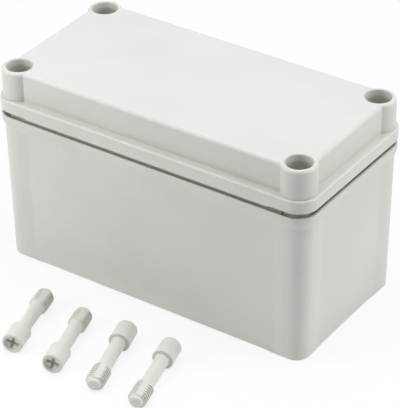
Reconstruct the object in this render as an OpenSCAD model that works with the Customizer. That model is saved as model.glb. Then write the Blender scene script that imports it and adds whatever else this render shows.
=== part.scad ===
// Plastic junction box: deep base, lid on a seal, four loose lid screws.
// The origin is the middle of the underside; X runs along the box, +Z is up.

/* [Enclosure] */
// Overall length, over the lid's skirt
box_l = 160; // [120:1:240]
// Overall width, over the lid's skirt
box_w = 80; // [70:1:160]
// Overall height, with the lid standing on its uncompressed seal
box_h = 95; // [70:1:140]
// Mould draft of the base's walls and columns, in degrees
draft = 1.25; // [0.5:0.25:2]

/* [Base] */
// Thickness of the side walls
wall = 2.7; // [2.2:0.1:4]
// Thickness of the floor
floor_t = 3; // [2:0.5:5]
// How far the walls sit inside the lid's skirt at the top of the base
wall_setback = 1.6; // [1.2:0.1:2.2]
// Corner radius of the base at the rim
corner_r = 8.2; // [8:0.1:10]
// How far the corner columns stand proud of the walls
column_proud = 0.5; // [0.3:0.1:1]
// Length of the flats beside each rounded corner, past the screw axis
column_flat = 3; // [2:0.1:6]
// Length of the ramps from those flats down to the walls
column_ramp = 5; // [1.5:0.1:6]
// Radius of the screw columns inside the base, at the seal
column_r = 7.9; // [7.5:0.1:8.5]
// How far the rim sits inside the lid's skirt
rim_setback = 0.2; // [0:0.1:0.5]
// Height of the rim's upright edge
rim_h = 2.8; // [2:0.1:5]
// Height of the flare under the rim's upright edge
flare_h = 5.5; // [3:0.1:8]
// Chamfer along the top edge of the rim
rim_chamfer = 0.3; // [0.1:0.1:0.6]
// Width of the rim's lip along the long sides
side_lip = 0.5; // [0.4:0.1:1]
// Width of the rim's lip along the short sides
end_lip = 1.2; // [0.8:0.1:1.6]
// Depth of the channel between the lip and the sealing tongue
channel_depth = 2.6; // [1:0.1:2.7]
// How far the channel's outer wall leans out over that depth
channel_lean = 0.7; // [0.2:0.1:0.9]
// Chamfer round the foot of the base
foot_chamfer = 0.6; // [0.2:0.1:1.2]
// Draft of the columns inside the base, in degrees
core_draft = 0.5; // [0.25:0.25:1]

/* [Lid] */
// Height of the raised platform above the ledge
platform_h = 13.8; // [8:0.1:20]
// Width of the ledge between the skirt's face and the platform
ledge_w = 3.75; // [3:0.05:5]
// Thickness of the ledge over the seal groove
ledge_t = 2.6; // [1.8:0.1:4]
// Thickness of the platform's walls
lid_wall = 2.5; // [1.8:0.1:3]
// Thickness of the platform's top
top_t = 2.6; // [1.8:0.1:4]
// Rounding of the platform's and pillars' top edges
top_round = 1.8; // [0.5:0.1:2]
// Fillet between the platform and the ledge
ledge_fillet = 0.3; // [0.2:0.1:1.2]
// Rounding of the skirt's top edge
skirt_round = 0.8; // [0.3:0.1:1]
// Wall of the screw pillars round the mouth of their counterbore
pillar_wall = 2; // [1.5:0.1:3]
// Depth of the tapered mouth of the counterbores
mouth_depth = 3; // [2:0.1:5]
// How much wider that mouth is, on each side
mouth_wide = 0.45; // [0.1:0.05:0.6]
// Eased edge of the mouth
hole_ease = 0.4; // [0.2:0.1:0.8]
// Width of the ledge outside the pillars
pillar_ledge = 1.2; // [1:0.1:2]

/* [Seal] */
// Height of the sealing tongue above the rim
tongue_h = 3.7; // [3.2:0.1:5]
// Thickness of the sealing tongue
tongue_t = 1.4; // [1:0.1:2]
// Clearance on each side of the tongue in the lid's groove
groove_clear = 0.35; // [0.2:0.05:0.6]
// Height of the uncompressed gasket
gasket_t = 2; // [1:0.1:3]
// Clearance on each side of the gasket in the groove
gasket_clear = 0.1; // [0.05:0.05:0.2]
// Gap between skirt and rim along the long sides
side_gap = 2.1; // [1.5:0.1:2.5]
// Gap between skirt and rim along the short sides and round the corners
end_gap = 2.6; // [2:0.1:3]
// Length of that wider gap along the long sides, past the screw axis
relief_l = 9; // [5:0.5:15]

/* [Lid screws] */
// Head diameter
head_d = 9.2; // [7:0.1:12]
// Head length, with its collar
head_l = 10.4; // [8:0.1:18]
// Diameter of the collar at the shoulder of the head
collar_d = 9.4; // [8:0.1:13]
// Height of the collar
collar_h = 1.2; // [0.6:0.1:2]
// Clearance of the collar in the lid's counterbore
head_clear = 0.65; // [0.4:0.05:1]
// Depth of the head below the lid's top when it is screwed down
head_sink = 4; // [0.2:0.1:5]
// Shank diameter
shank_d = 6.1; // [4:0.1:6.5]
// Shank length
shank_l = 18.8; // [12:0.1:24]
// Outer diameter of the thread
thread_d = 8.2; // [7.6:0.1:9]
// Core diameter of the thread
core_d = 6.4; // [6.2:0.1:7.4]
// Pitch of the thread
pitch = 1.36; // [1.2:0.02:2]
// Width of the crest of each thread ridge
crest_w = 0.36; // [0.2:0.02:0.5]
// Width of the root between two thread ridges
root_w = 0.3; // [0.2:0.02:0.6]
// Number of thread ridges
ridges = 7; // [4:1:9]
// How far the two flats that interrupt the thread stand proud of the shank
flat_proud = 0.05; // [0.05:0.05:0.3]
// Clearance round the thread in the lid and in the top of the columns
thread_clear = 0.2; // [0.1:0.05:0.4]
// Clearance round the thread's core in the columns
core_clear = 0.25; // [0.1:0.05:0.5]
// Diameter of the blunt tip
tip_d = 5.6; // [3.5:0.1:6]
// Length of the blunt tip
tip_l = 1.8; // [1.2:0.1:4]
// Diameter of the round dish in the head
dish_d = 6.8; // [5:0.1:7]
// Depth of the round dish in the head
dish_depth = 0.9; // [0.4:0.1:2]
// Length of the cross recess, tip to tip
cross_l = 5.8; // [4:0.1:6.5]
// Width of the arms of the cross recess
cross_w = 1.5; // [0.8:0.1:2]
// Depth of the cross recess below the dish
cross_depth = 2.4; // [1:0.1:4]
// Roll of the loose screws, from where their flats lie level, in degrees
lie_roll = 16; // [0:1:30]

/* [Fixings] */
// Diameter of the wall-fixing holes under the screw columns
fixing_d = 4.2; // [3:0.1:5]
// Length of the wall-fixing holes
fixing_l = 8; // [5:0.5:12]
// Spacing of the board bosses along the box
boss_pitch_l = 116; // [60:1:120]
// Spacing of the board bosses across the box
boss_pitch_w = 46; // [20:1:50]
// Diameter of the board bosses
boss_d = 7; // [5:0.1:9]
// Height of the board bosses above the floor
boss_h = 6; // [3:0.5:12]
// Diameter of the pilot holes in the board bosses
pilot_d = 2.5; // [1.6:0.1:3.2]
// Depth of the pilot holes in the board bosses
pilot_depth = 5; // [3:0.5:8]

/* [Hidden] */
$fn = 64;
// Overlap that keeps cuts clear of the faces they pass through
eps = 0.5;
shell_grey = [0.80, 0.81, 0.79];
screw_grey = [0.82, 0.82, 0.78];
gasket_grey = [0.36, 0.37, 0.34];

// Screw axes: head, counterbore, pillar and ledge set them in from the faces
counterbore_r = collar_d / 2 + head_clear;
mouth_r = counterbore_r + mouth_wide;
pillar_r = mouth_r + pillar_wall;
screw_inset = pillar_r + pillar_ledge;
screw_x = box_l / 2 - screw_inset;
screw_y = box_w / 2 - screw_inset;

// Heights, worked down from the top of the lid
ledge_z = box_h - platform_h;
groove_z = ledge_z - ledge_t;
tongue_z = groove_z - gasket_t;
rim_z = tongue_z - tongue_h;
seat_z = box_h - head_sink - head_l;
thread_z = seat_z - shank_l;

// Plan sizes of the base at the rim, and how much the draft takes off per millimetre
slope = tan(draft);
wall_top_x = box_l / 2 - wall_setback;
wall_top_y = box_w / 2 - wall_setback;
// Middle of each rounded corner of the base
post_x = wall_top_x + column_proud - corner_r;
post_y = wall_top_y + column_proud - corner_r;

// Middle line of the seal: half sizes of its rectangle and radius round the screws
seal_inset = wall_setback + wall - tongue_t / 2;
seal_x = box_l / 2 - seal_inset;
seal_y = box_w / 2 - seal_inset;
seal_r = column_r - tongue_t / 2;
groove_half = tongue_t / 2 + groove_clear;
// Share of that radius at which the straight runs of the seal meet it
seal_share = sqrt(1 - pow((seal_x - screw_x) / seal_r, 2));

// Plan of the platform
platform_x = box_l / 2 - ledge_w;
platform_y = box_w / 2 - ledge_w;

// Lie of the loose screws: the collar and an edge of the thread's flats touch the floor
thread_l = ridges * pitch;
thread_end = head_l + shank_l + thread_l;
flats_w = shank_d + 2 * flat_proud;
rest_r = thread_d / 2 * cos(acos(flats_w / thread_d) - lie_roll);
lie_tilt = atan((collar_d / 2 - rest_r) / (thread_end - head_l));
lie_z = head_l * sin(lie_tilt) + collar_d / 2 * cos(lie_tilt);
// Each loose screw: X of its head end and distance of that end in front of the box, in lengths of
// the screw, then the direction of its tip
screw_l = thread_end + tip_l;
loose_screws = [
    [-0.708, 1.428, 105.9],
    [-0.146, 1.475, 106.7],
    [0.138, 0.54, -75],
    [0.695, 0.529, -76.9]
];

// Repeats its children on the four screw axes
module at_screws() {
    for (sx = [-1, 1], sy = [-1, 1])
        translate([sx * screw_x, sy * screw_y, 0]) children();
}

// Runs a section along X; the section is drawn across the box, upwards
module along_x(length) {
    rotate([90, 0, 90]) linear_extrude(length, center = true) children();
}

// Runs a section along Y
module along_y(length) {
    rotate([90, 0, 0]) linear_extrude(length, center = true) children();
}

// Slab with corners of radius r about [x, y]; its child draws the section for the half width $half
module rounded_slab(x, y, r) {
    let ($half = y + r) along_x(2 * x) children();
    let ($half = x + r) along_y(2 * y) children();
    for (sx = [0, 1], sy = [0, 1])
        mirror([sx, 0, 0]) mirror([0, sy, 0])
            translate([x, y, 0]) rotate_extrude(angle = 90)
                intersection() {
                    let ($half = r) children();
                    square([box_l, box_h]);
                }
}

// Slab with the plan of the lid
module lid_slab() {
    rounded_slab(screw_x, screw_y, screw_inset) children();
}

// Plan of the seal, moved outwards by d from its middle line: it passes inside the screws
module seal_plan(d) {
    turn_r = seal_r - d;
    difference() {
        square([2 * (seal_x + d), 2 * (seal_y + d)], center = true);
        for (sx = [0, 1], sy = [0, 1])
            mirror([sx, 0]) mirror([0, sy]) translate([screw_x, screw_y]) {
                circle(turn_r);
                translate([-turn_r * seal_share, -turn_r * seal_share]) square(2 * screw_inset);
            }
    }
}

// Takes the sharp corner at [x, z] off a section, leaving a round of radius r
module round_off(x, z, r) {
    difference() {
        translate([x - r, z - r]) square(2 * r);
        translate([x - r, z - r]) circle(r);
    }
}

// Section of one pair of base walls, half as wide as half_top at the rim
module wall_section(half_top) {
    half_foot = half_top - rim_z * slope;
    polygon([
        [foot_chamfer - half_foot, 0],
        [half_foot - foot_chamfer, 0],
        [half_foot + foot_chamfer * slope, foot_chamfer],
        [half_top, rim_z],
        [-half_top, rim_z],
        [-half_foot - foot_chamfer * slope, foot_chamfer]
    ]);
}

// Section of the rim with its flare, for the half width $half of the lid
module rim_section() {
    edge = $half - rim_setback;
    flare_w = wall_setback - rim_setback + flare_h * slope + column_proud;
    polygon([
        [flare_w - edge, rim_z - rim_h - flare_h],
        [edge - flare_w, rim_z - rim_h - flare_h],
        [edge, rim_z - rim_h],
        [edge, rim_z - rim_chamfer],
        [edge - rim_chamfer, rim_z],
        [rim_chamfer - edge, rim_z],
        [-edge, rim_z - rim_chamfer],
        [-edge, rim_z - rim_h]
    ]);
}

// Takes a wall's length between its two corner columns, ramped at both ends, off the outer block
module wall_panel(half_l, half_top) {
    translate([0, half_top, rim_z]) rotate([-draft, 0, 0]) linear_extrude(2 * box_h, center = true)
        polygon([
            [-half_l - column_ramp, column_proud],
            [half_l + column_ramp, column_proud],
            [half_l - 2 * column_ramp, -2 * column_proud],
            [2 * column_ramp - half_l, -2 * column_proud]
        ]);
}

// Tapered corner columns, outside
module corner_columns() {
    difference() {
        rounded_slab(post_x, post_y, corner_r) wall_section($half);
        for (side = [0, 1]) {
            mirror([0, side, 0]) wall_panel(screw_x - column_flat, wall_top_y + column_proud);
            mirror([side, 0, 0]) mirror([1, -1, 0])
                wall_panel(screw_y - column_flat, wall_top_x + column_proud);
        }
    }
}

// Section of the channel in the rim, out to the half width $half at the rim's top
module channel_section() {
    foot = $half - channel_lean;
    top = $half + channel_lean * eps / channel_depth;
    polygon([
        [-foot, rim_z - channel_depth],
        [foot, rim_z - channel_depth],
        [top, rim_z + eps],
        [-top, rim_z + eps]
    ]);
}

// Channel round the rim, from its lip to the middle line of the tongue
module rim_channel() {
    difference() {
        rounded_slab(screw_x + side_lip - end_lip, screw_y, screw_inset - rim_setback - side_lip)
            channel_section();
        lid_slab() translate([seal_inset - $half, 0]) square([2 * ($half - seal_inset), box_h]);
    }
}

// Space inside the base, open above the tongue, with the corner columns standing in it
module base_cavity() {
    depth = tongue_z + eps - floor_t;
    difference() {
        intersection() {
            along_x(box_l) cavity_section(seal_y - tongue_t / 2, depth);
            along_y(box_w) cavity_section(seal_x - tongue_t / 2, depth);
        }
        at_screws() translate([0, 0, floor_t])
            cylinder(h = depth, r1 = column_r + depth * tan(core_draft), r2 = column_r);
    }
}

// Section of the space inside one pair of base walls
module cavity_section(half_top, depth) {
    half_foot = half_top - depth * slope;
    top = floor_t + depth;
    polygon([[-half_foot, floor_t], [half_foot, floor_t], [half_top, top], [-half_top, top]]);
}

// Bore of a corner column: free for the thread, then its core, then the wall-fixing hole
module column_bore() {
    free_z = thread_z + pitch;
    translate([0, 0, -eps]) cylinder(h = box_h, d = fixing_d);
    translate([0, 0, fixing_l]) cylinder(h = rim_z, d = core_d + 2 * core_clear);
    translate([0, 0, free_z]) cylinder(h = rim_z, d = thread_d + 2 * thread_clear);
}

module board_boss() {
    translate([0, 0, floor_t - eps])
        difference() {
            cylinder(h = boss_h + eps, d = boss_d);
            translate([0, 0, boss_h + eps - pilot_depth]) cylinder(h = pilot_depth + eps, d = pilot_d);
        }
}

module base() {
    color(shell_grey) {
        difference() {
            union() {
                difference() {
                    union() {
                        along_x(2 * post_x) wall_section(wall_top_y);
                        along_y(2 * post_y) wall_section(wall_top_x);
                        corner_columns();
                        lid_slab() rim_section();
                    }
                    rim_channel();
                }
                translate([0, 0, rim_z - channel_depth - eps])
                    linear_extrude(channel_depth + eps + tongue_h) seal_plan(tongue_t / 2);
            }
            base_cavity();
            at_screws() column_bore();
        }
        for (sx = [-1, 1], sy = [-1, 1])
            translate([sx * boss_pitch_l / 2, sy * boss_pitch_w / 2, 0]) board_boss();
    }
}

// Section of the lid's skirt, for the half width $half
module skirt_section() {
    skirt_z = rim_z + side_gap;
    difference() {
        translate([-$half, skirt_z]) square([2 * $half, ledge_z - skirt_z]);
        round_off($half, ledge_z, skirt_round);
        mirror([1, 0]) round_off($half, ledge_z, skirt_round);
    }
}

// Section of the platform with its rounded top edges and foot fillets
module platform_section(half) {
    difference() {
        translate([-half, ledge_z - eps]) square([2 * half, platform_h + eps]);
        round_off(half, box_h, top_round);
        mirror([1, 0]) round_off(half, box_h, top_round);
    }
    for (side = [0, 1])
        mirror([side, 0]) difference() {
            translate([half - eps, ledge_z - eps]) square([ledge_fillet + eps, ledge_fillet + eps]);
            translate([half + ledge_fillet, ledge_z + ledge_fillet]) circle(ledge_fillet);
        }
}

// Screw pillar with a rounded top edge
module pillar() {
    rotate_extrude() difference() {
        translate([0, ledge_z - eps]) square([pillar_r, platform_h + eps]);
        round_off(pillar_r, box_h, top_round);
    }
}

// Hole for a lid screw: counterbore with a tapered mouth, and a free hole through its seat
module screw_hole() {
    translate([0, 0, rim_z]) cylinder(h = box_h, d = thread_d + 2 * thread_clear);
    rotate_extrude() polygon([
        [0, seat_z],
        [counterbore_r, seat_z],
        [counterbore_r, box_h - mouth_depth],
        [mouth_r, box_h - hole_ease],
        [mouth_r + 2 * hole_ease, box_h + hole_ease],
        [0, box_h + hole_ease]
    ]);
}

// Cuts the lower edge of the skirt back at both ends of the lid
module skirt_reliefs() {
    for (side = [0, 1])
        mirror([side, 0, 0])
            translate([screw_x - relief_l, -box_w, rim_z]) cube([box_l, 2 * box_w, end_gap]);
}

module lid() {
    inner = platform_x - lid_wall - seal_x;
    color(shell_grey)
        difference() {
            union() {
                lid_slab() skirt_section();
                intersection() {
                    along_x(box_l) platform_section(platform_y);
                    along_y(box_w) platform_section(platform_x);
                }
                at_screws() pillar();
            }
            translate([0, 0, rim_z]) linear_extrude(box_h - top_t - rim_z) seal_plan(inner);
            translate([0, 0, rim_z]) linear_extrude(groove_z - rim_z)
                difference() {
                    seal_plan(groove_half);
                    seal_plan(-groove_half);
                }
            at_screws() screw_hole();
            skirt_reliefs();
        }
}

module gasket() {
    half = groove_half - gasket_clear;
    color(gasket_grey)
        translate([0, 0, tongue_z]) linear_extrude(gasket_t)
            difference() {
                seal_plan(half);
                seal_plan(-half);
            }
}

// Half section of the thread: one trapezoid ridge per pitch
module thread_section() {
    foot = thread_end - thread_l;
    ridge = [
        [core_d, root_w / 2],
        [thread_d, (pitch - crest_w) / 2],
        [thread_d, (pitch + crest_w) / 2],
        [core_d, pitch - root_w / 2]
    ];
    polygon(concat(
        [[0, foot]],
        [for (i = [0 : ridges - 1], p = ridge) [p[0] / 2, foot + i * pitch + p[1]]],
        [[0, thread_end]]
    ));
}

// One screw along its own axis, head end at the origin
module lid_screw() {
    tip_round = tip_l / 2;
    difference() {
        union() {
            cylinder(h = head_l, d = head_d);
            translate([0, 0, head_l - collar_h]) cylinder(h = collar_h, d = collar_d);
            cylinder(h = thread_end, d = shank_d);
            intersection() {
                rotate_extrude() thread_section();
                translate([-flats_w / 2, -thread_d, 0]) cube([flats_w, 2 * thread_d, thread_end]);
            }
            translate([0, 0, thread_end - eps]) cylinder(h = tip_l - tip_round + eps, d = tip_d);
            translate([0, 0, thread_end + tip_l - tip_round])
                cylinder(h = tip_round, d1 = tip_d, d2 = tip_d - 2 * tip_round);
        }
        translate([0, 0, -eps]) cylinder(h = dish_depth + eps, d = dish_d);
        for (turn = [0, 90])
            rotate(turn) translate([-cross_l / 2, -cross_w / 2, -eps])
                cube([cross_l, cross_w, dish_depth + cross_depth + eps]);
    }
}

module lid_screws() {
    color(screw_grey)
        for (lie = loose_screws)
            translate([lie[0] * screw_l, -box_w / 2 - lie[1] * screw_l, lie_z])
                rotate([0, 90 + lie_tilt, lie[2]]) rotate(sign(lie[2]) * lie_roll) lid_screw();
}

base();
lid();
gasket();
lid_screws();
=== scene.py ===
"""Plastic junction box: finishes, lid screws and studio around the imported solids.

Units are metres, +Z is up, and the box stands on the floor at Z = 0 with its long side along X.
"""

import math

import bmesh
import bpy
from bpy.props import FloatProperty, FloatVectorProperty, IntProperty, PointerProperty
from bpy.types import Operator, Panel, PropertyGroup
from mathutils import Matrix, Vector


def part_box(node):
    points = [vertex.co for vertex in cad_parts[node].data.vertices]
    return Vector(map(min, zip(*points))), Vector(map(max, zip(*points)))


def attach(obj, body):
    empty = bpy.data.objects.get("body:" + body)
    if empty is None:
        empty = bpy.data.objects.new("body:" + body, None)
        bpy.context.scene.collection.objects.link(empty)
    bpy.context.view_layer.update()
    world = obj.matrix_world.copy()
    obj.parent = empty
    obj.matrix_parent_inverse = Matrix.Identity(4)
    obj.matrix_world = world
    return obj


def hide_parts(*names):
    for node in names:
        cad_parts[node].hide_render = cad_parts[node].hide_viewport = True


bl_info = {
    "name": "Plastic Junction Box",
    "version": (1, 0, 0),
    "blender": (4, 5, 0),
    "location": "View3D > Sidebar > Junction Box",
    "description": "Dresses a moulded junction box with its lid screws, seal and studio",
    "category": "Object",
}

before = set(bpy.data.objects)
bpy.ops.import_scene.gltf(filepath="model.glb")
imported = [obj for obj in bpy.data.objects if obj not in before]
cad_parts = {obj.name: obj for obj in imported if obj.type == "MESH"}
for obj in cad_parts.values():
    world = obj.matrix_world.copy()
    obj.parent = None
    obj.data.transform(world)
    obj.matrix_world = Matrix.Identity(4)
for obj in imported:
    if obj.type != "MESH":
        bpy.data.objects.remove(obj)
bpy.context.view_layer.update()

MM = 0.001
WHITE = (1.0, 1.0, 1.0, 1.0)

# Moulded plastic: how far colour and gloss vary over its clouds, and the openness between full painted shade
# and none (painted shade darkens and tints the colour deep in holes and grooves)
PLASTIC_IOR = 1.54
CLOUDS_PER_METRE = 28.0
CLOUD_LOW, CLOUD_HIGH = 0.3, 0.7
COLOUR_SPREAD = 0.025
GLOSS_SPREAD = 0.04
GRAIN_STRENGTH = 0.35
EDGE_SAMPLES = 6
PAINTED_SHADE_SAMPLES = 8
PAINTED_SHADE_FULL, PAINTED_SHADE_NONE = 0.28, 0.62

# Foam rubber
PORES_PER_METRE = 3200.0
PORE_DEPTH = 0.05 * MM
PORE_STRENGTH = 0.6

# Edges along the outline of a lid screw
DISH_EDGE = 0.15 * MM
HEAD_EDGE = 0.45 * MM
COLLAR_FOOT = 0.1 * MM
COLLAR_TOP = 0.15 * MM
COLLAR_EDGE = 0.3 * MM
SHANK_FILLET = 0.4 * MM
THREAD_EDGE = 0.3 * MM
CORE_EDGE = 0.2 * MM
TIP_EDGE = 1.0 * MM

# Outer ring of the dish's floor, taper from the core to the tip on both sides of the thread's end, and
# radius of the face that closes the tip
DISH_RING = 0.4 * MM
TAPER_BEFORE, TAPER_AFTER = 0.3 * MM, 0.2 * MM
TIP_FLAT = 0.4 * MM

# Cross recess: growth and depth at the steps of its mouth, the loss at half its depth, the shares of
# length and width that are left at its floor, and its roundings as shares of the arm's width
RECESS_MOUTH = ((0.2 * MM, 0.0), (0.06 * MM, 0.04 * MM), (0.0, 0.16 * MM))
RECESS_LOSS = 0.12 * MM
RECESS_FLOOR = (0.55, 0.7)
ARM_END, ARM_CORNER = 0.3, 0.12

# Fineness of the screw's mesh, and the angle at which its edges look sharp
ARC_STEPS = 5
CROSS_ARC_STEPS = 4
STEPS_PER_PITCH = 20
SHARP_ANGLE = math.radians(38.0)

# Places of the loose screws, as in the solids: X of the head end and its distance in front of
# the box, both in lengths of the screw, then the direction of the tip in degrees
LOOSE_SCREWS = (
    (-0.708, 1.428, 105.9),
    (-0.146, 1.475, 106.7),
    (0.138, 0.54, -75.0),
    (0.695, 0.529, -76.9),
)

# Soft boxes: place, width and height of each, and the point that all of them face
TOP_BOX = ((0.0, 0.05, 0.75), 0.9, 0.9)
LEFT_BOX = ((-0.34, -0.36, 0.24), 0.3, 0.3)
RIGHT_BOX = ((0.8, 0.35, 0.4), 0.5, 0.7)
LAMP_AIM = Vector((0.0, 0.0, 0.05))

# The floor lies just under the box, so that their faces don't coincide
FLOOR_SIDES = 96
FLOOR_DROP = 0.05 * MM

# Camera: width of the film in millimetres, and the depth that it sees
SENSOR_WIDTH = 36.0
CLIP_START, CLIP_END = 0.01, 50.0


def length(name, description, millimetres):
    """Property for a length that is easier to read in millimetres."""
    return FloatProperty(
        name=name, description=description, default=millimetres * MM, min=0.0, unit="LENGTH", precision=5
    )


def degrees(name, description, value):
    """Property for an angle that is easier to read in degrees."""
    return FloatProperty(name=name, description=description, default=math.radians(value), subtype="ANGLE")


def colour(name, description, rgb):
    """Property for a linear colour."""
    return FloatVectorProperty(
        name=name, description=description, default=rgb, min=0.0, max=1.0, subtype="COLOR", size=3
    )


def factor(name, description, value):
    """Property for a share between 0 and 1."""
    return FloatProperty(name=name, description=description, default=value, min=0.0, max=1.0, subtype="FACTOR")


def watts(name, description, value):
    """Property for the power of a lamp."""
    return FloatProperty(name=name, description=description, default=value, min=0.0, unit="POWER")


class ShellFinish(PropertyGroup):
    """Moulded plastic of the base and the lid."""

    colour: colour("Shell colour", "Light grey of the moulded shell", (0.617, 0.658, 0.574))
    roughness: factor("Roughness", "Satin of the moulded faces", 0.42)
    grain_size: length("Grain size", "Size of the spark-eroded mould grain", 0.45)
    grain_depth: length("Grain depth", "Depth of the mould grain", 0.012)
    edge_round: length("Edge rounding", "Radius that softens the moulded edges", 0.4)
    # Painted shade: the lid's colour is darkened and tinted deep in its holes, creases and the gap, where shade
    # falls
    painted_shade_reach: length("Shade reach", "How wide a hole in the lid collects dust", 11.0)
    painted_shade_colour: colour("Dust colour", "Tint of the dust deep in the lid's holes", (0.78, 0.79, 0.66))


class ScrewFinish(PropertyGroup):
    """Plastic of the lid screws."""

    colour: colour("Screw colour", "Warm grey of the screws", (0.66, 0.685, 0.59))
    roughness: factor("Roughness", "Satin of the screws", 0.5)
    grain_size: length("Grain size", "Size of the mould grain", 0.35)
    grain_depth: length("Grain depth", "Depth of the mould grain", 0.01)
    edge_round: length("Edge rounding", "Radius that softens the edges", 0.1)
    # Painted shade: the screws' colour is darkened deep in the thread's grooves and the cross recess, where
    # shade falls
    painted_shade_reach: length("Shade reach", "How wide a groove collects dust", 1.2)
    painted_shade_colour: colour("Dust colour", "Tint of the dust in the thread and the recess", (0.5, 0.51, 0.42))


class ScrewSizes(PropertyGroup):
    """Sizes of one plastic lid screw."""

    head_d: length("Head diameter", "Diameter of the round head", 9.2)
    head_l: length("Head length", "Length of the head with its collar", 10.4)
    collar_d: length("Collar diameter", "Diameter of the collar at the shoulder", 9.4)
    collar_h: length("Collar height", "Height of the collar", 1.2)
    shank_d: length("Shank diameter", "Diameter of the plain shank", 6.1)
    shank_l: length("Shank length", "Length of the plain shank", 18.8)
    thread_d: length("Thread diameter", "Outer diameter of the thread", 8.2)
    core_d: length("Core diameter", "Core diameter of the thread", 6.8)
    pitch: length("Pitch", "Pitch of the thread", 1.36)
    turns: IntProperty(name="Turns", description="Turns of the thread", default=7, min=1)
    crest_w: length("Crest width", "Width of the thread's crest", 0.46)
    root_w: length("Root width", "Width of the thread's root", 0.46)
    flats_w: length("Across flats", "Distance across the flats that interrupt the thread", 6.8)
    tip_d: length("Tip diameter", "Diameter of the blunt tip", 5.6)
    tip_l: length("Tip length", "Length of the blunt tip", 1.8)
    dish_d: length("Dish diameter", "Diameter of the dish in the head", 6.8)
    dish_depth: length("Dish depth", "Depth of the dish in the head", 0.9)
    cross_l: length("Cross length", "Length of the cross recess, tip to tip", 5.8)
    cross_w: length("Cross width", "Width of the arms of the cross recess", 1.5)
    cross_depth: length("Cross depth", "Depth of the cross recess below the dish", 2.4)
    lie_roll: degrees("Roll", "Roll of the loose screws", 16.0)
    steps: IntProperty(name="Steps", description="Points round the screw", default=96, min=24)


class SealFinish(PropertyGroup):
    """Gasket in the lid."""

    colour: colour("Gasket colour", "Dark grey of the foam rubber", (0.09, 0.092, 0.085))
    roughness: factor("Roughness", "Matt of the foam rubber", 0.85)


class StudioSettings(PropertyGroup):
    """Floor, lamps and camera."""

    floor_colour: colour("Floor colour", "White of the sweep that the box stands on", (0.92, 0.92, 0.92))
    floor_radius: length("Floor radius", "Radius of the floor", 4000.0)
    floor_white: factor("Floor white", "Share of plain white that the camera sees on the floor", 0.8)
    sky_level: factor("Sky level", "Level of the even light from all round", 0.05)
    top_power: watts("Top power", "Soft box overhead", 7.1)
    left_power: watts("Left power", "Soft box at the front left", 1.3)
    right_power: watts("Right power", "Soft box on the right", 3.93)
    top_colour: colour("Top colour", "Tint of the soft box overhead", (0.934, 0.863, 1.0))
    azimuth: degrees("Azimuth", "Camera's turn round the box", 34.759)
    elevation: degrees("Elevation", "Camera's height angle", 33.055)
    roll: degrees("Roll", "Camera's roll", -0.723)
    distance: length("Distance", "From the aim to the camera", 1012.931)
    aim_side: length("Aim side", "Aim's offset to the right of the box's axis", 0.766)
    aim_height: length("Aim height", "Aim's height over the floor", 32.454)
    lens: FloatProperty(name="Lens", description="Focal length in millimetres", default=203.848, min=1.0)


def set_input(socket, value):
    """Link a node's input to another socket, or give it a constant."""
    if isinstance(value, bpy.types.NodeSocket):
        socket.id_data.links.new(value, socket)
    else:
        socket.default_value = value


def node_adder(tree):
    """Empty a node tree; returns a function that adds a node to it and sets the node's inputs."""
    tree.nodes.clear()

    def add(kind, **inputs):
        node = tree.nodes.new(kind)
        for key, value in inputs.items():
            set_input(node.inputs[key.replace("_", " ")], value)
        return node

    return add


def new_material(name):
    """New node material with the function that adds its nodes."""
    material = bpy.data.materials.new(name)
    material.use_nodes = True
    return material, node_adder(material.node_tree)


def calculate(add, operation, first, second):
    """Result of a math node."""
    node = add("ShaderNodeMath")
    node.operation = operation
    set_input(node.inputs[0], first)
    set_input(node.inputs[1], second)
    return node.outputs["Value"]


def mix_shaders(add, share, first, second):
    """Shader that goes from the first to the second as the share goes from 0 to 1."""
    mix = add("ShaderNodeMixShader", Fac=share)
    set_input(mix.inputs[1], first)
    set_input(mix.inputs[2], second)
    return mix.outputs["Shader"]


def colour_ramp(add, value, start, start_rgb, end, end_rgb):
    """Colour that changes as the value goes from start to end."""
    ramp = add("ShaderNodeValToRGB", Fac=value)
    low, high = ramp.color_ramp.elements
    low.position, high.position = start, end
    low.color, high.color = (*start_rgb, 1.0), (*end_rgb, 1.0)
    return ramp.outputs["Color"]


def painted_shade_over(add, clean, reach, rgb):
    """The clean colour with painted shade: darkened and tinted where the surface lies deep in a hole or a
    groove.
    """
    openness = add("ShaderNodeAmbientOcclusion", Distance=reach)
    openness.samples = PAINTED_SHADE_SAMPLES
    painted_shade = colour_ramp(add, openness.outputs["AO"], PAINTED_SHADE_FULL, rgb, PAINTED_SHADE_NONE, WHITE[:3])
    with_painted_shade = add("ShaderNodeMixRGB", Fac=1.0, Color1=clean, Color2=painted_shade)
    with_painted_shade.blend_type = "MULTIPLY"
    return with_painted_shade.outputs["Color"]


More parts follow.
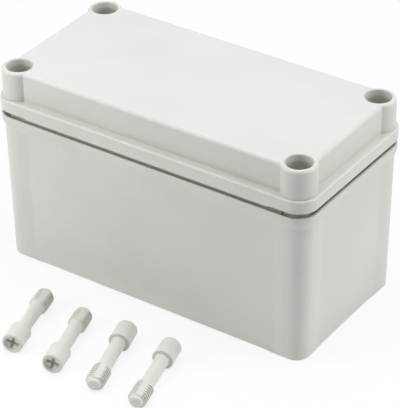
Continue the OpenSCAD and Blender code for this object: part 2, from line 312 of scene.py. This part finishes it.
def moulded_plastic(name, finish, with_painted_shade):
    """Satin moulded plastic with fine mould grain, faintly uneven in colour and gloss.

    With painted shade, its colour is darkened and tinted deep in its holes and grooves.
    """
    material, add = new_material(name)
    place = add("ShaderNodeTexCoord").outputs["Object"]
    cloud_noise = add("ShaderNodeTexNoise", Vector=place, Scale=CLOUDS_PER_METRE, Detail=3.0, Roughness=0.55)
    clouds = cloud_noise.outputs["Fac"]
    darker = [(1.0 - COLOUR_SPREAD) * c for c in finish.colour]
    lighter = [min(1.0, (1.0 + COLOUR_SPREAD) * c) for c in finish.colour]
    tone = colour_ramp(add, clouds, CLOUD_LOW, darker, CLOUD_HIGH, lighter)
    # Painted shade: darker, tinted colour deep in holes and grooves
    if with_painted_shade:
        tone = painted_shade_over(add, tone, finish.painted_shade_reach, finish.painted_shade_colour)
    gloss = add(
        "ShaderNodeMapRange",
        Value=clouds,
        To_Min=finish.roughness - GLOSS_SPREAD,
        To_Max=finish.roughness + GLOSS_SPREAD,
    )
    grain = add("ShaderNodeTexNoise", Vector=place, Scale=1.0 / finish.grain_size, Detail=2.0, Roughness=0.5)
    edge = add("ShaderNodeBevel", Radius=finish.edge_round)
    edge.samples = EDGE_SAMPLES
    bump = add(
        "ShaderNodeBump",
        Height=grain.outputs["Fac"],
        Distance=finish.grain_depth,
        Strength=GRAIN_STRENGTH,
        Normal=edge.outputs["Normal"],
    )
    shader = add(
        "ShaderNodeBsdfPrincipled",
        Base_Color=tone,
        Roughness=gloss.outputs["Result"],
        Normal=bump.outputs["Normal"],
        IOR=PLASTIC_IOR,
    )
    add("ShaderNodeOutputMaterial", Surface=shader.outputs["BSDF"])
    return material


def foam_rubber(name, finish):
    """Matt foam rubber with fine open pores."""
    material, add = new_material(name)
    place = add("ShaderNodeTexCoord").outputs["Object"]
    pores = add("ShaderNodeTexVoronoi", Vector=place, Scale=PORES_PER_METRE)
    bump = add(
        "ShaderNodeBump", Height=pores.outputs["Distance"], Distance=PORE_DEPTH, Strength=PORE_STRENGTH
    )
    shader = add(
        "ShaderNodeBsdfPrincipled",
        Base_Color=(*finish.colour, 1.0),
        Roughness=finish.roughness,
        Normal=bump.outputs["Normal"],
    )
    add("ShaderNodeOutputMaterial", Surface=shader.outputs["BSDF"])
    return material


def seen_directly(add):
    """1 for rays from the camera and for mirrored or refracted ones, 0 for the rest."""
    path = add("ShaderNodeLightPath")
    either = calculate(add, "MAXIMUM", path.outputs["Is Camera Ray"], path.outputs["Is Glossy Ray"])
    return calculate(add, "MAXIMUM", either, path.outputs["Is Transmission Ray"])


def set_material(obj, material):
    """Make this the only material of the object."""
    obj.data.materials.clear()
    obj.data.materials.append(material)


def smooth_step(low, high, value):
    """0 at low and 1 at high, with a soft start and end."""
    t = min(1.0, max(0.0, (value - low) / (high - low)))
    return t * t * (3.0 - 2.0 * t)


def rounded_line(corners, steps=ARC_STEPS):
    """Points of an open line through corners (x, y, radius), with an arc of that radius at each corner."""
    points = [Vector(corners[0][:2])]
    for before, corner, after in zip(corners, corners[1:], corners[2:]):
        a, b, c = (Vector(p[:2]) for p in (before, corner, after))
        radius = corner[2]
        into, out = (a - b).normalized(), (c - b).normalized()
        half = 0.5 * into.angle(out)
        if radius == 0.0 or half > math.radians(89.0):
            points.append(b)
            continue
        reach = radius / math.tan(half)
        middle = b + (into + out).normalized() * (radius / math.sin(half))
        first, last = b + into * reach - middle, b + out * reach - middle
        turn = first.angle_signed(last)
        for i in range(steps + 1):
            angle = -turn * i / steps
            spun = Vector((
                first.x * math.cos(angle) - first.y * math.sin(angle),
                first.x * math.sin(angle) + first.y * math.cos(angle),
            ))
            points.append(middle + spun)
    points.append(Vector(corners[-1][:2]))
    return points


def cross_outline(arm, width):
    """Closed outline of a cross with rounded arm ends and rounded inner corners."""
    half, side = arm / 2.0, width / 2.0
    corners = []
    for quarter in range(4):
        spin = Matrix.Rotation(math.radians(90.0) * quarter, 2)
        corners += [
            (spin @ Vector((half, -side)), ARM_END * width),
            (spin @ Vector((half, side)), ARM_END * width),
            (spin @ Vector((side, side)), ARM_CORNER * width),
        ]
    points = []
    count = len(corners)
    for i, (b, radius) in enumerate(corners):
        a, c = corners[i - 1][0], corners[(i + 1) % count][0]
        line = rounded_line([(*a, 0.0), (*b, radius), (*c, 0.0)], CROSS_ARC_STEPS)
        points += line[1:-1]
    return points


def thread_span(s):
    """Where the thread of a screw starts and ends, from the head end."""
    start = s.head_l + s.shank_l
    return start, start + s.turns * s.pitch


def screw_profile(s):
    """Outline of the screw as (z, r), from the floor of its dish over the head and shank to the tip."""
    head_r, collar_r, shank_r = s.head_d / 2, s.collar_d / 2, s.shank_d / 2
    dish_r, core_r, tip_r = s.dish_d / 2, s.core_d / 2, s.tip_d / 2
    collar_z = s.head_l - s.collar_h
    thread_start, thread_end = thread_span(s)
    screw_end = thread_end + s.tip_l
    return rounded_line([
        (s.dish_depth, dish_r - DISH_RING, 0.0),
        (s.dish_depth, dish_r, DISH_EDGE),
        (0.0, dish_r, DISH_EDGE),
        (0.0, head_r, HEAD_EDGE),
        (collar_z - (collar_r - head_r), head_r, COLLAR_FOOT),
        (collar_z, collar_r, COLLAR_TOP),
        (s.head_l, collar_r, COLLAR_EDGE),
        (s.head_l, shank_r, SHANK_FILLET),
        (thread_start, shank_r, THREAD_EDGE),
        (thread_start + core_r - shank_r, core_r, CORE_EDGE),
        (thread_end - TAPER_BEFORE, core_r, THREAD_EDGE),
        (thread_end + TAPER_AFTER, tip_r, CORE_EDGE),
        (screw_end, tip_r, TIP_EDGE),
        (screw_end, TIP_FLAT, 0.0),
    ])


def fine_profile(s):
    """The outline with close points along the thread."""
    start, end = thread_span(s)
    step = s.pitch / STEPS_PER_PITCH
    outline = screw_profile(s)
    points = []
    for a, b in zip(outline, outline[1:]):
        points.append(a)
        if a.x >= start - step and b.x <= end + step and b.x - a.x > step:
            count = math.ceil((b.x - a.x) / step)
            points += [a.lerp(b, i / count) for i in range(1, count)]
    points.append(outline[-1])
    return points


def thread_height(s, z, angle):
    """Height of the thread over its core at a place on the screw, between 0 and its full height."""
    start, end = thread_span(s)
    share = ((z - start) / s.pitch - angle / (2.0 * math.pi)) % 1.0
    off_crest = abs(share - 0.5) * s.pitch
    flank = smooth_step((s.pitch - s.root_w) / 2.0, s.crest_w / 2.0, off_crest)
    fade = smooth_step(start, start + 0.5 * s.pitch, z) * smooth_step(end, end - 0.5 * s.pitch, z)
    return (s.thread_d - s.core_d) / 2.0 * flank * fade


def body_rings(bm, s):
    """Rings of points from the floor of the dish to the tip.

    Past the middle of the shank they follow the thread and its flats, which lie across X.
    """
    middle = s.head_l + 0.5 * s.shank_l
    rings = []
    for z, r in fine_profile(s):
        ring = []
        for i in range(s.steps):
            angle = 2.0 * math.pi * i / s.steps
            radius = r
            if z > middle:
                radius += thread_height(s, z, angle)
                radius = min(radius, s.flats_w / 2.0 / max(1e-6, abs(math.cos(angle))))
            ring.append(bm.verts.new((radius * math.cos(angle), radius * math.sin(angle), z)))
        rings.append(ring)
    return rings


def recess_rings(bm, s):
    """Rings of points from the mouth of the cross recess to its floor."""
    sections = [(s.cross_l + grow, s.cross_w + grow, sink) for grow, sink in RECESS_MOUTH]
    sections.append((s.cross_l - RECESS_LOSS, s.cross_w - RECESS_LOSS, 0.5 * s.cross_depth))
    sections.append((RECESS_FLOOR[0] * s.cross_l, RECESS_FLOOR[1] * s.cross_w, s.cross_depth))
    rings = []
    for arm, width, sink in sections:
        rings.append([bm.verts.new((p.x, p.y, s.dish_depth + sink)) for p in cross_outline(arm, width)])
    return rings


def skin(bm, rings):
    """Faces between neighbouring rings, and one that closes the last ring."""
    for lower, upper in zip(rings, rings[1:]):
        for i in range(len(lower)):
            j = (i + 1) % len(lower)
            bm.faces.new((lower[i], lower[j], upper[j], upper[i]))
    bm.faces.new(rings[-1])


def screw_mesh(s):
    """Mesh of one screw along +Z, with the head end at the origin."""
    bm = bmesh.new()
    rim = []
    for make_rings in (body_rings, recess_rings):
        rings = make_rings(bm, s)
        skin(bm, rings)
        rim += [bm.edges.get((a, b)) for a, b in zip(rings[0], rings[0][1:] + rings[0][:1])]
    bmesh.ops.triangle_fill(bm, edges=rim, use_beauty=True)
    bmesh.ops.recalc_face_normals(bm, faces=bm.faces)
    mesh = bpy.data.meshes.new("lid_screw")
    bm.to_mesh(mesh)
    bm.free()
    mesh.shade_smooth()
    mesh.set_sharp_from_angle(angle=SHARP_ANGLE)
    return mesh


def screw_places(s):
    """Matrix of each loose screw: the collar and the end of the thread rest on the floor."""
    thread_end = thread_span(s)[1]
    whole = thread_end + s.tip_l
    rest_r = s.thread_d / 2.0 * math.cos(math.acos(s.flats_w / s.thread_d) - s.lie_roll)
    tilt = math.atan((s.collar_d / 2.0 - rest_r) / (thread_end - s.head_l))
    height = s.head_l * math.sin(tilt) + s.collar_d / 2.0 * math.cos(tilt)
    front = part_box("lid")[0].y
    for across, ahead, direction in LOOSE_SCREWS:
        yield (
            Matrix.Translation((across * whole, front - ahead * whole, height))
            @ Matrix.Rotation(math.radians(direction), 4, "Z")
            @ Matrix.Rotation(math.radians(90.0) + tilt, 4, "Y")
            @ Matrix.Rotation(math.copysign(s.lie_roll, direction), 4, "Z")
        )


class BoxOperator(Operator):
    """Base for the steps that dress the box."""

    bl_options = {"REGISTER", "UNDO"}


class JUNCTION_OT_shell(BoxOperator):
    """Give the base and the lid their moulded plastic"""

    bl_idname = "junction.shell"
    bl_label = "Dress Shell"

    def execute(self, context):
        finish = context.scene.junction_shell
        # The lid gets painted shade deep in its holes and along the gap; the base gets none
        set_material(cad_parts["base"], moulded_plastic("base plastic", finish, with_painted_shade=False))
        set_material(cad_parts["lid"], moulded_plastic("lid plastic", finish, with_painted_shade=True))
        return {"FINISHED"}


class JUNCTION_OT_gasket(BoxOperator):
    """Give the gasket its foam rubber"""

    bl_idname = "junction.gasket"
    bl_label = "Dress Gasket"

    def execute(self, context):
        rubber = foam_rubber("gasket rubber", context.scene.junction_seal)
        set_material(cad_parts["gasket"], rubber)
        return {"FINISHED"}


class JUNCTION_OT_screws(BoxOperator):
    """Lay out the four loose lid screws"""

    bl_idname = "junction.screws"
    bl_label = "Lay Out Lid Screws"

    def execute(self, context):
        sizes = context.scene.junction_screw
        mesh = screw_mesh(sizes)
        # The screws get painted shade in their thread and cross recess
        mesh.materials.append(moulded_plastic("screw plastic", context.scene.junction_screw_finish, with_painted_shade=True))
        for number, place in enumerate(screw_places(sizes), 1):
            screw = bpy.data.objects.new(f"lid_screw_{number}", mesh)
            context.scene.collection.objects.link(screw)
            screw.matrix_world = place
            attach(screw, "base")
            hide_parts("lid_screws")
        return {"FINISHED"}


class JUNCTION_OT_studio(BoxOperator):
    """Set the floor, the soft boxes, the even light and the camera"""

    bl_idname = "junction.studio"
    bl_label = "Set Up Studio"

    def execute(self, context):
        studio = context.scene.junction_studio
        context.scene.view_settings.view_transform = "Standard"
        self.lay_floor(context, studio)
        self.light_world(context, studio)
        self.hang_soft_box(context, "top box", *TOP_BOX, studio.top_power, studio.top_colour)
        self.hang_soft_box(context, "left box", *LEFT_BOX, studio.left_power, WHITE[:3])
        self.hang_soft_box(context, "right box", *RIGHT_BOX, studio.right_power, WHITE[:3])
        self.place_camera(context, studio)
        return {"FINISHED"}

    def lay_floor(self, context, studio):
        """Round white floor; the camera sees it mixed with plain white, so shadows stay faint."""
        bm = bmesh.new()
        bmesh.ops.create_circle(bm, cap_ends=True, segments=FLOOR_SIDES, radius=studio.floor_radius)
        mesh = bpy.data.meshes.new("studio floor")
        bm.to_mesh(mesh)
        bm.free()
        floor = bpy.data.objects.new("studio floor", mesh)
        context.scene.collection.objects.link(floor)
        floor.location.z = -FLOOR_DROP
        material, add = new_material("white sweep")
        paper = add("ShaderNodeBsdfDiffuse", Color=(*studio.floor_colour, 1.0))
        white = add("ShaderNodeEmission", Color=WHITE, Strength=1.0)
        share = calculate(add, "MULTIPLY", seen_directly(add), studio.floor_white)
        sweep = mix_shaders(add, share, paper.outputs["BSDF"], white.outputs["Emission"])
        add("ShaderNodeOutputMaterial", Surface=sweep)
        mesh.materials.append(material)

    def light_world(self, context, studio):
        """Even light from all round; the camera sees plain white."""
        world = bpy.data.worlds.new("white studio")
        context.scene.world = world
        world.use_nodes = True
        add = node_adder(world.node_tree)
        even = add("ShaderNodeBackground", Color=WHITE, Strength=studio.sky_level)
        white = add("ShaderNodeBackground", Color=WHITE, Strength=1.0)
        sky = mix_shaders(add, seen_directly(add), even.outputs["Background"], white.outputs["Background"])
        add("ShaderNodeOutputWorld", Surface=sky)

    def hang_soft_box(self, context, name, place, width, height, power, tint):
        """Rectangular lamp that faces the middle of the box."""
        lamp = bpy.data.lights.new(name, "AREA")
        lamp.shape = "RECTANGLE"
        lamp.size, lamp.size_y = width, height
        lamp.energy = power
        lamp.color = tint
        box = bpy.data.objects.new(name, lamp)
        context.scene.collection.objects.link(box)
        box.location = place
        box.rotation_euler = (LAMP_AIM - box.location).to_track_quat("-Z", "Y").to_euler()

    def place_camera(self, context, studio):
        """Camera at the photograph's viewing angle."""
        flat = math.cos(studio.elevation)
        back = Vector((
            math.sin(studio.azimuth) * flat,
            -math.cos(studio.azimuth) * flat,
            math.sin(studio.elevation),
        ))
        right = Vector((math.cos(studio.azimuth), math.sin(studio.azimuth), 0.0))
        up = back.cross(right)
        across = right * math.cos(studio.roll) + up * math.sin(studio.roll)
        upright = up * math.cos(studio.roll) - right * math.sin(studio.roll)
        place = right * studio.aim_side + Vector((0.0, 0.0, studio.aim_height)) + back * studio.distance
        data = bpy.data.cameras.new("photo camera")
        data.lens = studio.lens
        data.sensor_width = SENSOR_WIDTH
        data.clip_start, data.clip_end = CLIP_START, CLIP_END
        camera = bpy.data.objects.new("photo camera", data)
        context.scene.collection.objects.link(camera)
        turn = Matrix((across, upright, back)).transposed().to_4x4()
        camera.matrix_world = Matrix.Translation(place) @ turn
        context.scene.camera = camera


class JUNCTION_PT_panel(Panel):
    """Steps and settings of the junction box."""

    bl_idname = "JUNCTION_PT_panel"
    bl_label = "Junction Box"
    bl_space_type = "VIEW_3D"
    bl_region_type = "UI"
    bl_category = "Junction Box"

    def draw(self, context):
        layout = self.layout
        for step in STEPS:
            layout.operator(step.bl_idname)
        for name in SETTINGS:
            settings = getattr(context.scene, name)
            box = layout.box()
            for key in settings.__annotations__:
                box.prop(settings, key)


SETTINGS = {
    "junction_shell": ShellFinish,
    "junction_screw_finish": ScrewFinish,
    "junction_screw": ScrewSizes,
    "junction_seal": SealFinish,
    "junction_studio": StudioSettings,
}
STEPS = (JUNCTION_OT_shell, JUNCTION_OT_gasket, JUNCTION_OT_screws, JUNCTION_OT_studio)


def register():
    for cls in (*SETTINGS.values(), *STEPS, JUNCTION_PT_panel):
        bpy.utils.register_class(cls)
    for name, cls in SETTINGS.items():
        setattr(bpy.types.Scene, name, PointerProperty(type=cls))


def unregister():
    for name in SETTINGS:
        delattr(bpy.types.Scene, name)
    for cls in reversed((*SETTINGS.values(), *STEPS, JUNCTION_PT_panel)):
        bpy.utils.unregister_class(cls)


def main():
    register()
    bpy.ops.junction.shell()
    bpy.ops.junction.gasket()
    bpy.ops.junction.screws()
    bpy.ops.junction.studio()


if __name__ == "__main__":
    main()
